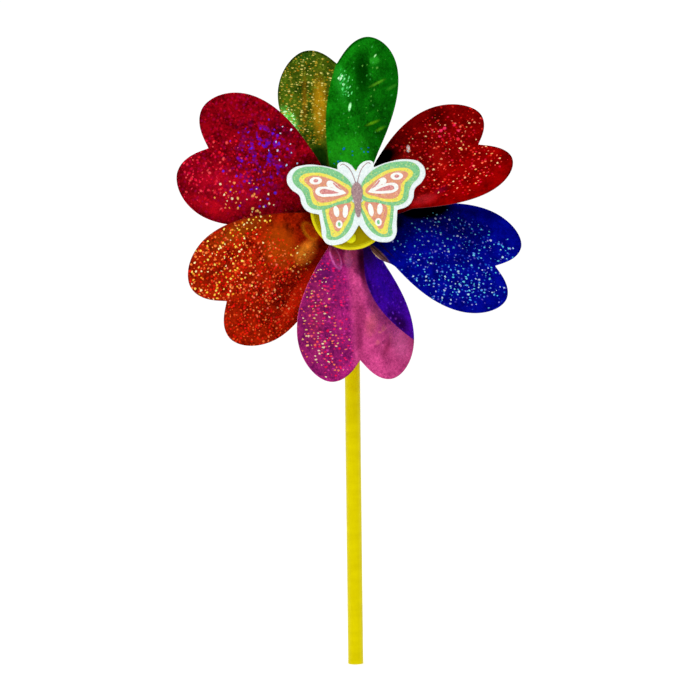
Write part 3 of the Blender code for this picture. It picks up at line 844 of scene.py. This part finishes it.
def settle(obj):
    """Puts what an object's modifiers make into its mesh, and clears them."""
    seen = obj.evaluated_get(bpy.context.evaluated_depsgraph_get())
    mesh = bpy.data.meshes.new_from_object(seen)
    obj.modifiers.clear()
    obj.data = mesh


def turned_shape(profile, edge, steps=96, closed=False):
    """A turned solid from (radius, height) points down its outer side, with its sharp edges rounded."""
    shape = bmesh.new()
    points = [shape.verts.new((radius, 0, height)) for radius, height in profile]
    edges = [shape.edges.new(pair) for pair in zip(points, points[1:])]
    if closed:
        edges.append(shape.edges.new((points[-1], points[0])))
    geometry = points + edges
    bmesh.ops.spin(
        shape, geom=geometry, axis=(0, 0, 1), cent=(0, 0, 0), steps=steps, angle=math.tau, use_merge=True
    )
    bmesh.ops.remove_doubles(shape, verts=shape.verts, dist=0.002 * MM)
    bmesh.ops.recalc_face_normals(shape, faces=shape.faces)
    if edge:
        sharp = [e for e in shape.edges if e.calc_face_angle(0) > SMOOTH_ANGLE]
        bmesh.ops.bevel(
            shape, geom=sharp, offset=edge, segments=3, profile=0.5, affect="EDGES", clamp_overlap=True
        )
    return shape


def turned(name, profile, material, matrix, edge=0.15 * MM, steps=96, closed=False):
    obj = link(name, to_mesh(name, turned_shape(profile, edge, steps, closed)), material, matrix)
    obj.modifiers.new("Normals", "WEIGHTED_NORMAL").keep_sharp = True
    return obj


def boolean(obj, other, operation):
    """Adds or cuts away another solid."""
    modifier = obj.modifiers.new(operation, "BOOLEAN")
    modifier.object = other
    modifier.operation = operation
    modifier.solver = "EXACT"


def rod(radius, length, matrix):
    shape = bmesh.new()
    bmesh.ops.create_cone(shape, cap_ends=True, segments=48, radius1=radius, radius2=radius, depth=length)
    return link("rod", to_mesh("rod", shape), None, matrix)


def carve(obj, cutters):
    """Runs booleans with (cutter, operation) pairs, then throws the cutters away."""
    obj.modifiers.clear()
    for cutter, operation in cutters:
        boolean(obj, cutter, operation)
    settle(obj)
    for cutter, _ in cutters:
        bpy.data.objects.remove(cutter)
    smooth(obj.data)
    obj.modifiers.new("Normals", "WEIGHTED_NORMAL").keep_sharp = True


def stands_for(obj, body, slot, *nodes):
    """Says which body a piece rides on and the nodes of the part that it replaces; slot, its material's slot,
    is not used.
    """
    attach(obj, body)
    if nodes:
        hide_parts(*nodes)


# ---------------------------------------------------------------- stick and axle

BARREL_FRONT = SLEEVE_REAR - 2 * GAP - WASHER_THICKNESS
BARREL_REAR = AXLE_PLACE.y - BARREL_BEHIND
CAP_FRONT = BARREL_REAR - 2 * GAP - WASHER_THICKNESS
COLLAR_BASE = AXLE_PLACE.z - COLLAR_BELOW_AXLE
BADGE_BACK = DISC_INNER_FACE + DISC_THICKNESS + BOSS_HEIGHT + 2 * GAP + BADGE_PAD_THICKNESS


def stick(yellow):
    inner = STICK_RADIUS - STICK_WALL
    top = COLLAR_BASE - GAP
    outside = [(STICK_RADIUS, top * (1 - i / STICK_ROWS)) for i in range(STICK_ROWS + 1)]
    profile = [*outside, (inner, 0), (inner, top)]
    obj = turned("stick_tube", profile, yellow, Matrix.Identity(4), edge=0.25 * MM, closed=True)
    stands_for(obj, "stand", "yellow_plastic", "stick")


def stick_head(yellow):
    collar_top, plug_end = COLLAR_BASE + COLLAR_HEIGHT, COLLAR_BASE - PLUG_LENGTH
    profile = [
        (0, AXLE_PLACE.z), (COLUMN_RADIUS, AXLE_PLACE.z), (COLUMN_RADIUS, collar_top),
        (COLLAR_RADIUS, collar_top), (COLLAR_RADIUS, COLLAR_BASE), (PLUG_RADIUS, COLLAR_BASE),
        (PLUG_RADIUS, plug_end), (0, plug_end),
    ]
    head = turned("stick_head_moulding", profile, yellow, Matrix.Identity(4), edge=0.4 * MM)
    middle = AXLE_LINE @ Matrix.Translation((0, 0, (BARREL_FRONT + BARREL_REAR) / 2))
    length = BARREL_FRONT - BARREL_REAR
    end = length / 2
    barrel_profile = [(0, end), (BARREL_RADIUS, end), (BARREL_RADIUS, -end), (0, -end)]
    barrel = link("barrel", to_mesh("barrel", turned_shape(barrel_profile, 0.4 * MM)), None, middle)
    carve(head, [(barrel, "UNION"), (rod(BORE_RADIUS, 2 * length, middle), "DIFFERENCE")])
    stands_for(head, "stand", "yellow_plastic", "stick_head")


def washer(name, front, white):
    rear = front - WASHER_THICKNESS
    profile = [(WASHER_RADIUS, front), (WASHER_RADIUS, rear), (BORE_RADIUS, rear), (BORE_RADIUS, front)]
    obj = turned(name + "_ring", profile, white, AXLE_LINE, edge=0.12 * MM, closed=True)
    stands_for(obj, "stand", "white_plastic", name)


def axle_cap(yellow):
    rear, bottom = CAP_FRONT - CAP_LENGTH, CAP_FRONT - CAP_BORE_DEPTH
    profile = [
        (BORE_RADIUS, CAP_FRONT), (CAP_RADIUS, CAP_FRONT), (CAP_RADIUS, rear), (0, rear),
        (0, bottom), (BORE_RADIUS, bottom),
    ]
    obj = turned("axle_cap_moulding", profile, yellow, AXLE_LINE, edge=0.5 * MM, closed=True)
    stands_for(obj, "stand", "yellow_plastic", "axle_cap")


# ---------------------------------------------------------------- hub


def stud_place(direction):
    angle = math.radians(direction)
    return Vector((STUD_CIRCLE * math.cos(angle), STUD_CIRCLE * math.sin(angle), 0))


def pad_block(side, direction):
    """A wedge under (side -1) or over (side +1) a petal, with its clamping face on the petal's slope."""
    shape = bmesh.new()
    bmesh.ops.create_cube(shape, size=1.0)
    for vert in shape.verts:
        radial = PAD_INNER if vert.co.x < 0 else PAD_OUTER
        across = PAD_HALF_WIDTH if vert.co.y > 0 else -PAD_HALF_WIDTH
        film_face = side * PAD_CLEARANCE - PETAL_PITCH * across
        height = side * (DISC_INNER_FACE + PAD_ROOT) if vert.co.z * side > 0 else film_face
        vert.co = (radial, across, height)
    bmesh.ops.bevel(shape, geom=shape.edges[:], offset=0.2 * MM, segments=2, profile=0.5, affect="EDGES")
    turn = Matrix.Rotation(math.radians(direction), 4, "Z")
    return link("pad", to_mesh("pad", shape), None, WHEEL @ turn)


def pads_and_holes(side):
    directions = [petal[0] for petal in PETALS.values()]
    pads = [(pad_block(side, direction), "UNION") for direction in directions]
    holes = [
        (rod(STUD_HOLE_RADIUS, 60 * MM, WHEEL @ Matrix.Translation(stud_place(direction))), "DIFFERENCE")
        for direction in directions
    ]
    return pads + holes


def hub_body(yellow):
    face, back = -DISC_INNER_FACE, -DISC_INNER_FACE - DISC_THICKNESS
    profile = [
        (SLEEVE_RADIUS, SLEEVE_FRONT), (SLEEVE_RADIUS, face), (REAR_DISC_RADIUS, face),
        (REAR_DISC_RADIUS, back), (SLEEVE_RADIUS + SLEEVE_FILLET, back),
        (SLEEVE_RADIUS, back - SLEEVE_FILLET), (SLEEVE_RADIUS, SLEEVE_REAR),
        (BORE_RADIUS, SLEEVE_REAR), (BORE_RADIUS, SLEEVE_FRONT),
    ]
    body = turned("hub_rear_moulding", profile, yellow, WHEEL, edge=0.3 * MM, closed=True)
    carve(body, pads_and_holes(-1))
    stands_for(body, "wheel", "yellow_plastic", "hub_body")


def hub_front(yellow):
    """Front half of the hub: a shallow dish with a rolled lip and a hollow boss over the pin's head."""
    back, face = DISC_INNER_FACE, DISC_INNER_FACE + DISC_THICKNESS
    roof = face + BOSS_HEIGHT
    lip_middle = FRONT_DISC_RADIUS - LIP_HEIGHT
    lip_base = face + LIP_SEAT
    lip = [
        (lip_middle - LIP_HEIGHT * math.cos(a), lip_base + LIP_HEIGHT * math.sin(a))
        for a in (math.radians(15 * i) for i in range(13))
    ]
    profile = [
        (0, roof), (BOSS_RADIUS, roof), (BOSS_RADIUS + BOSS_FILLET, face + BOSS_FILLET),
        (BOSS_RADIUS + 2 * BOSS_FILLET, face), *lip, (FRONT_DISC_RADIUS, back + RIM_CHAMFER),
        (FRONT_DISC_RADIUS - RIM_CHAMFER, back), (BOSS_CAVITY_RADIUS, back),
        (BOSS_CAVITY_RADIUS, roof - BOSS_ROOF), (0, roof - BOSS_ROOF),
    ]
    disc = turned("hub_front_moulding", profile, yellow, WHEEL, edge=0.25 * MM, steps=128)
    carve(disc, pads_and_holes(1))
    stands_for(disc, "wheel", "yellow_plastic", "hub_front_disc")


def stud(number, direction, yellow):
    seat = DISC_INNER_FACE + DISC_THICKNESS + GAP
    dome = [
        (STUD_HEAD_RADIUS * math.sin(a), seat + STUD_HEAD_HEIGHT * math.cos(a))
        for a in (math.radians(9 * i) for i in range(11))
    ]
    profile = [*dome, (STUD_SHAFT_RADIUS, seat), (STUD_SHAFT_RADIUS, STUD_TAIL), (0, STUD_TAIL)]
    matrix = WHEEL @ Matrix.Translation(stud_place(direction))
    obj = turned(f"stud_{number}", profile, yellow, matrix, edge=0.12 * MM, steps=48)
    stands_for(obj, "wheel", "yellow_plastic", f"petal_stud_{number}")


# ---------------------------------------------------------------- petals


def bezier(start, start_tangent, end, end_tangent, t):
    """A point on a cubic arc from its ends and the offsets of its handles."""
    handles = (
        start,
        (start[0] + start_tangent[0], start[1] + start_tangent[1]),
        (end[0] + end_tangent[0], end[1] + end_tangent[1]),
        end,
    )
    weights = ((1 - t) ** 3, 3 * t * (1 - t) ** 2, 3 * t * t * (1 - t), t**3)
    return tuple(sum(w * p[axis] for w, p in zip(weights, handles)) for axis in (0, 1))


def heart_side(t):
    """The heart's right edge, from its base at t = 0 to its widest place at t = 1."""
    return bezier(HEART_BASE, BASE_TANGENT, HEART_WIDEST, (-SIDE_TANGENT, 0), t)


def heart_top(t):
    """The heart's outer edge, over one lobe, into the notch at t = 0.5 and over the other lobe."""
    side = 1 if t <= 0.5 else -1
    share = 4 * min(t, 1 - t)
    if share <= 1:
        point = bezier(HEART_WIDEST, (SHOULDER_TANGENT, 0), HEART_TIP, (0, TIP_OUTER_TANGENT), share)
    else:
        point = bezier(HEART_TIP, (0, -TIP_INNER_TANGENT), HEART_NOTCH, NOTCH_TANGENT, share - 1)
    return point[0], side * point[1]


def heart_point(across, along, flare):
    """A point of the flat film: across runs 0 to 1 from right edge to left, and along from base to lobes."""
    out, half_width = heart_side(along)
    widening = flare * max(0.0, 1 - ((out - FLARE_PLACE) / FLARE_REACH) ** 2) ** 2
    aside = half_width * (1 - 2 * across) + widening * (1 - across)
    top = heart_top(across)
    return (
        out + along * (top[0] - HEART_WIDEST[0]),
        aside + along * (top[1] - HEART_WIDEST[1] * (1 - 2 * across)),
    )


def smoothstep(low, high, value):
    t = min(1.0, max(0.0, (value - low) / (high - low)))
    return t * t * (3 - 2 * t)


def bent_point(place, petal):
    """Where a point of the flat film lies once it is pinned on the hub and bent about the axle."""
    direction, skew, reach, slope, cupping, lean, _ = petal
    turn = math.radians(skew)
    out, aside = place[0] - STUD_CIRCLE, -place[1]
    x = out * math.cos(turn) - aside * math.sin(turn) + STUD_CIRCLE + reach
    y = out * math.sin(turn) + aside * math.cos(turn)
    radius = math.hypot(x, y)
    angle = -math.atan2(y, x)
    free = smoothstep(CLAMPED_TO, FREE_FROM, radius)

    def rise(a):
        own = lean + slope * math.sin(a) + cupping * a * a
        return own * free + PETAL_PITCH * math.sin(a) * (1 - free)

    def narrowing(a):
        """How much of an angle on the flat film is left, seen along the axle, where the film climbs."""
        climb = (slope * math.cos(a) + 2 * cupping * a) * free + PETAL_PITCH * math.cos(a) * (1 - free)
        return math.sqrt(max(0.05, 1 - rise(a) ** 2 - climb**2)) / (1 - rise(a) ** 2)

    step = angle / ARC_STEPS
    covered = sum(narrowing((i + 0.5) * step) for i in range(ARC_STEPS)) * step
    height = radius * rise(angle)
    flat = math.sqrt(radius**2 - height**2)
    seen = math.radians(direction) - covered
    return flat * math.cos(seen), flat * math.sin(seen), height


def petal(name, settings):
    """A heart of thin foil. Its flat pattern goes along as a UV map, for the painting."""
    shape = bmesh.new()
    bmesh.ops.create_grid(shape, x_segments=PETAL_COLUMNS, y_segments=PETAL_ROWS, size=0.5)
    shape.verts.ensure_lookup_table()
    flat = [heart_point(vert.co.x + 0.5, vert.co.y + 0.5, settings[-1]) for vert in shape.verts]
    for vert, place in zip(shape.verts, flat):
        vert.co = bent_point(place, settings)
    mesh = to_mesh(name, shape)
    pattern = mesh.uv_layers.new(name="pattern")
    for loop in mesh.loops:
        pattern.data[loop.index].uv = flat[loop.vertex_index]
    obj = link(name + "_film", mesh, foil(name, LOOKS[name]), WHEEL)
    mesh.materials.append(cut_edge(name, *LOOKS[name]["edge"]))
    solidify = obj.modifiers.new("Film", "SOLIDIFY")
    solidify.thickness = FILM_THICKNESS
    solidify.offset = 0.0
    solidify.material_offset_rim = 1
    hole = rod(FILM_HOLE_RADIUS, 6 * MM, WHEEL @ Matrix.Translation(stud_place(settings[0])))
    boolean(obj, hole, "DIFFERENCE")
    settle(obj)
    bpy.data.objects.remove(hole)
    stands_for(obj, "wheel", name.replace("petal_", "") + "_foil", name)


# ---------------------------------------------------------------- butterfly


def badge_matrix(height):
    return (
        WHEEL
        @ Matrix.Translation((*BADGE_OFFSET, BADGE_BACK + height))
        @ Matrix.Rotation(math.radians(BADGE_TURN), 4, "Z")
    )


def add_outline(curve, points):
    spline = curve.splines.new("BEZIER")
    spline.bezier_points.add(len(points) - 1)
    spline.use_cyclic_u = True
    for point, (x, y, *corner) in zip(spline.bezier_points, points):
        point.co = (x * MM, y * MM, 0)
        kind = "VECTOR" if corner else "AUTO"
        point.handle_left_type = kind
        point.handle_right_type = kind


def flat_curve(name, outlines, half_thickness, edge=0.0, resolution=10):
    curve = bpy.data.curves.new(name, "CURVE")
    curve.dimensions = "2D"
    curve.fill_mode = "BOTH"
    curve.resolution_u = resolution
    curve.extrude = half_thickness - edge
    curve.bevel_depth = edge
    curve.bevel_resolution = 2
    curve.offset = -edge
    for outline in outlines:
        add_outline(curve, outline)
    return curve


def curve_to_piece(name, curve, material, matrix):
    obj = bpy.data.objects.new(name, curve)
    bpy.context.scene.collection.objects.link(obj)
    seen = obj.evaluated_get(bpy.context.evaluated_depsgraph_get())
    mesh = bpy.data.meshes.new_from_object(seen)
    bpy.data.objects.remove(obj)
    shape = bmesh.new()
    shape.from_mesh(mesh)
    bmesh.ops.remove_doubles(shape, verts=shape.verts, dist=0.002 * MM)
    return link(name, to_mesh(name, shape), material, matrix)


def mirrored(points):
    """The left half that goes with a right half."""
    return [(-x, y, *corner) for x, y, *corner in reversed(points)]


def whole(points):
    """A closed outline from a right half whose two ends lie on the middle line."""
    return [*points, *mirrored(points[1:-1])]


def oval(x, y, half_x, half_y, turn=0.0):
    """An outline of eight points on an ellipse."""
    angle = math.radians(turn)
    spots = []
    for k in range(8):
        a = math.tau * k / 8
        along, across = half_x * math.cos(a), half_y * math.sin(a)
        spot_x = x + along * math.cos(angle) - across * math.sin(angle)
        spot_y = y + along * math.sin(angle) + across * math.cos(angle)
        spots.append((spot_x, spot_y))
    return spots


def print_layer(name, outlines, material, level):
    """A film of ink, one step above the level below it and sunk half a step into that."""
    bottom, top = (level - 0.5) * PRINT_STEP, (level + 1) * PRINT_STEP
    curve = flat_curve(name, outlines, (top - bottom) / 2)
    obj = curve_to_piece(name, curve, material, badge_matrix(BADGE_THICKNESS + (bottom + top) / 2))
    stands_for(obj, "wheel", "butterfly_foam")


def butterfly():
    white = foam("butterfly_foam_white", (232, 240, 239), (216, 229, 228), 0.5 * MM)
    green_specks = [(80, 168, 104), (174, 214, 156), (186, 208, 112), (132, 200, 142)]
    yellow_specks = [(152, 200, 96), (240, 230, 130), (226, 176, 96), (234, 222, 86)]
    orange_specks = [(232, 186, 100), (200, 110, 94), (230, 178, 152), (204, 150, 120)]
    body_specks = [(186, 160, 156), (116, 88, 100), (204, 176, 166), (140, 110, 110)]
    green = glitter_print("print_green", (116, 188, 126), green_specks)
    yellow = glitter_print("print_yellow", (230, 217, 78), yellow_specks)
    orange = glitter_print("print_orange", (216, 138, 110), orange_specks)
    spot = glitter_print("print_white", (238, 240, 234), [(250, 250, 250), (226, 222, 216), (244, 244, 238)])
    mauve = glitter_print("print_mauve", (204, 120, 120), [(224, 158, 154), (180, 96, 110), (230, 176, 158)])
    dusk = glitter_print("print_body", (156, 124, 126), body_specks)

    board = curve_to_piece(
        "butterfly_foam_board",
        flat_curve("butterfly_foam_board", [whole(BADGE_OUTLINE)], BADGE_THICKNESS / 2, BADGE_EDGE, 16),
        white,
        badge_matrix(BADGE_THICKNESS / 2),
    )
    stands_for(board, "wheel", "butterfly_foam", "butterfly_board")

    hind_drops = [oval(10.1, -3.1, 1.25, 2.6, -8), oval(5.9, -3.3, 1.2, 3.0, 8), oval(9.1, -9.15, 1.55, 1.85)]
    layers = (
        ("hindwing_green", [HINDWING_GREEN], green, 0),
        ("hindwing_yellow", [HINDWING_YELLOW], yellow, 1),
        ("hindwing_orange", [HINDWING_ORANGE], orange, 2),
        ("hindwing_white", hind_drops, spot, 3),
        ("hindwing_eye", [oval(9.1, -9.15, 0.62, 1.0)], green, 4),
        ("forewing_green", [FOREWING_GREEN], green, 4),
        ("forewing_yellow", [FOREWING_YELLOW], yellow, 5),
        ("forewing_orange", [FOREWING_ORANGE], orange, 6),
        ("forewing_white", [oval(18.8, 11.6, 2.9, 1.7), BRANCH], spot, 7),
        ("forewing_drop", [TEARDROP], spot, 8),
        ("forewing_ball", [oval(12.4, 9.8, 1.55, 1.55)], spot, 9),
        ("forewing_core", [TEARDROP_CORE, oval(18.8, 11.6, 1.1, 0.75)], mauve, 10),
        ("forewing_branch", [BRANCH_CORE], mauve, 10),
    )
    for name, halves, ink, level in layers:
        print_layer("print_" + name, [side for half in halves for side in (half, mirrored(half))], ink, level)
    print_layer("print_body", [whole(THORAX)], dusk, 10)
    antennae(dusk)


def antennae(material):
    curve = bpy.data.curves.new("print_antennae", "CURVE")
    curve.dimensions = "3D"
    curve.bevel_depth = ANTENNA_RADIUS
    curve.bevel_resolution = 3
    curve.use_fill_caps = True
    for side in (1, -1):
        spline = curve.splines.new("BEZIER")
        spline.bezier_points.add(len(ANTENNA) - 1)
        for point, (x, y) in zip(spline.bezier_points, ANTENNA):
            point.co = (side * x * MM, y * MM, 0)
            point.handle_left_type = "AUTO"
            point.handle_right_type = "AUTO"
    obj = curve_to_piece("print_antennae", curve, material, badge_matrix(BADGE_THICKNESS))
    obj.data.transform(Matrix.Diagonal((1, 1, ANTENNA_FLATNESS, 1)))
    stands_for(obj, "wheel", "butterfly_foam")


def butterfly_tape():
    rear, front = BADGE_BACK - GAP - BADGE_PAD_THICKNESS, BADGE_BACK - GAP
    profile = [(0, front), (BADGE_PAD_RADIUS, front), (BADGE_PAD_RADIUS, rear), (0, rear)]
    tape = foam("tape_foam", (226, 226, 218), (200, 200, 192), 0.35 * MM)
    obj = turned("butterfly_tape_pad", profile, tape, WHEEL, edge=0.12 * MM)
    stands_for(obj, "wheel", "foam_tape", "butterfly_tape")


# ---------------------------------------------------------------- studio


def floor():
    shape = bmesh.new()
    bmesh.ops.create_circle(shape, cap_ends=True, segments=96, radius=4.0)
    material, graph, shader = new_material("floor_paper")
    paper = graph.noise(graph.object_place(), 40 * MM, 3.0)
    graph.feed_all(shader, {
        "Base Color": graph.mix(paper, (0.90, 0.90, 0.90, 1), (0.94, 0.94, 0.94, 1)),
        "Roughness": 0.9,
        "Specular IOR Level": 0.1,
        "Emission Color": (1, 1, 1, 1),
        "Emission Strength": 0.35,
    })
    ground = Matrix.Translation((0, 0, CAD_BOX[0].z - 0.05 * MM))
    obj = link("floor", to_mesh("floor", shape), material, ground)


def world():
    """White to the camera, and to all else a soft studio: brighter overhead, dimmer behind the camera."""
    studio = bpy.data.worlds.new("studio")
    studio.use_nodes = True
    bpy.context.scene.world = studio
    graph = Graph(studio.node_tree)
    shader = studio.node_tree.nodes["Background"]
    _, y, z = graph.split(graph.node("ShaderNodeTexCoord").outputs["Generated"])
    height = graph.span(z, -0.4, 0.9, 0.6, 0.85)
    facing = graph.span(y, -1.0, 0.4, 0.75, 1.0)
    light = graph.math("MULTIPLY", height, facing)
    seen = graph.node("ShaderNodeLightPath").outputs["Is Camera Ray"]
    white = graph.math("MULTIPLY", seen, graph.math("SUBTRACT", BACKDROP_WHITE, light))
    graph.feed_all(shader, {"Color": (1, 1, 1, 1), "Strength": graph.math("ADD", white, light)})


def area_light(name, place, target, size, power):
    data = bpy.data.lights.new(name, "AREA")
    data.shape = "RECTANGLE"
    data.size, data.size_y = size
    data.energy = power
    lamp = bpy.data.objects.new(name, data)
    bpy.context.scene.collection.objects.link(lamp)
    lamp.location = place
    lamp.rotation_euler = (Vector(target) - Vector(place)).to_track_quat("-Z", "Y").to_euler()


def camera():
    data = bpy.data.cameras.new("camera")
    data.sensor_width = SENSOR_WIDTH
    data.lens = SENSOR_WIDTH * CAMERA_DISTANCE / VIEW_WIDTH
    data.clip_start = 0.01
    data.clip_end = 50
    obj = bpy.data.objects.new("camera", data)
    bpy.context.scene.collection.objects.link(obj)
    turn = Matrix.Rotation(math.radians(90), 4, "X") @ Matrix.Rotation(math.radians(CAMERA_ROLL), 4, "Z")
    obj.matrix_world = Matrix.Translation((CAMERA_ASIDE, -CAMERA_DISTANCE, CAMERA_HEIGHT)) @ turn
    bpy.context.scene.camera = obj


def build():
    yellow = plastic("yellow_moulding", (218, 204, 2), (208, 192, 0), 0.34)
    white = plastic("white_moulding", (228, 228, 220), (214, 214, 206), 0.4)
    frame["nodes"]["axle_pin"].data.materials.clear()
    frame["nodes"]["axle_pin"].data.materials.append(white)

    stick(yellow)
    stick_head(yellow)
    washer("front_washer", SLEEVE_REAR - GAP, white)
    washer("rear_washer", BARREL_REAR - GAP, white)
    axle_cap(yellow)
    hub_body(yellow)
    # the dish is darker than the other yellow plastic, as painted shade under the butterfly, and paler at its
    # lip, as a painted highlight
    lip_inside = FRONT_DISC_RADIUS - 2 * LIP_HEIGHT
    hub_front(rim_highlight_plastic("hub_front_moulding", (184, 166, 2), (170, 152, 0), (222, 212, 24), lip_inside))
    stud_yellow = plastic("stud_moulding", (230, 232, 30), (222, 222, 12), 0.3)
    for number, (name, settings) in enumerate(PETALS.items(), 1):
        petal(name, settings)
        stud(number, settings[0], stud_yellow)
    butterfly_tape()
    butterfly()

    floor()
    world()
    area_light("key", (-0.6, -0.9, 0.9), AXLE_PLACE, (0.9, 0.9), 5)
    area_light("strip", (0.7, -0.5, 0.35), AXLE_PLACE, (0.12, 0.8), 0.5)
    area_light("top", (0.0, 0.1, 1.2), AXLE_PLACE, (0.8, 0.8), 2)
    camera()
    bpy.context.scene.view_settings.view_transform = "Standard"


build()
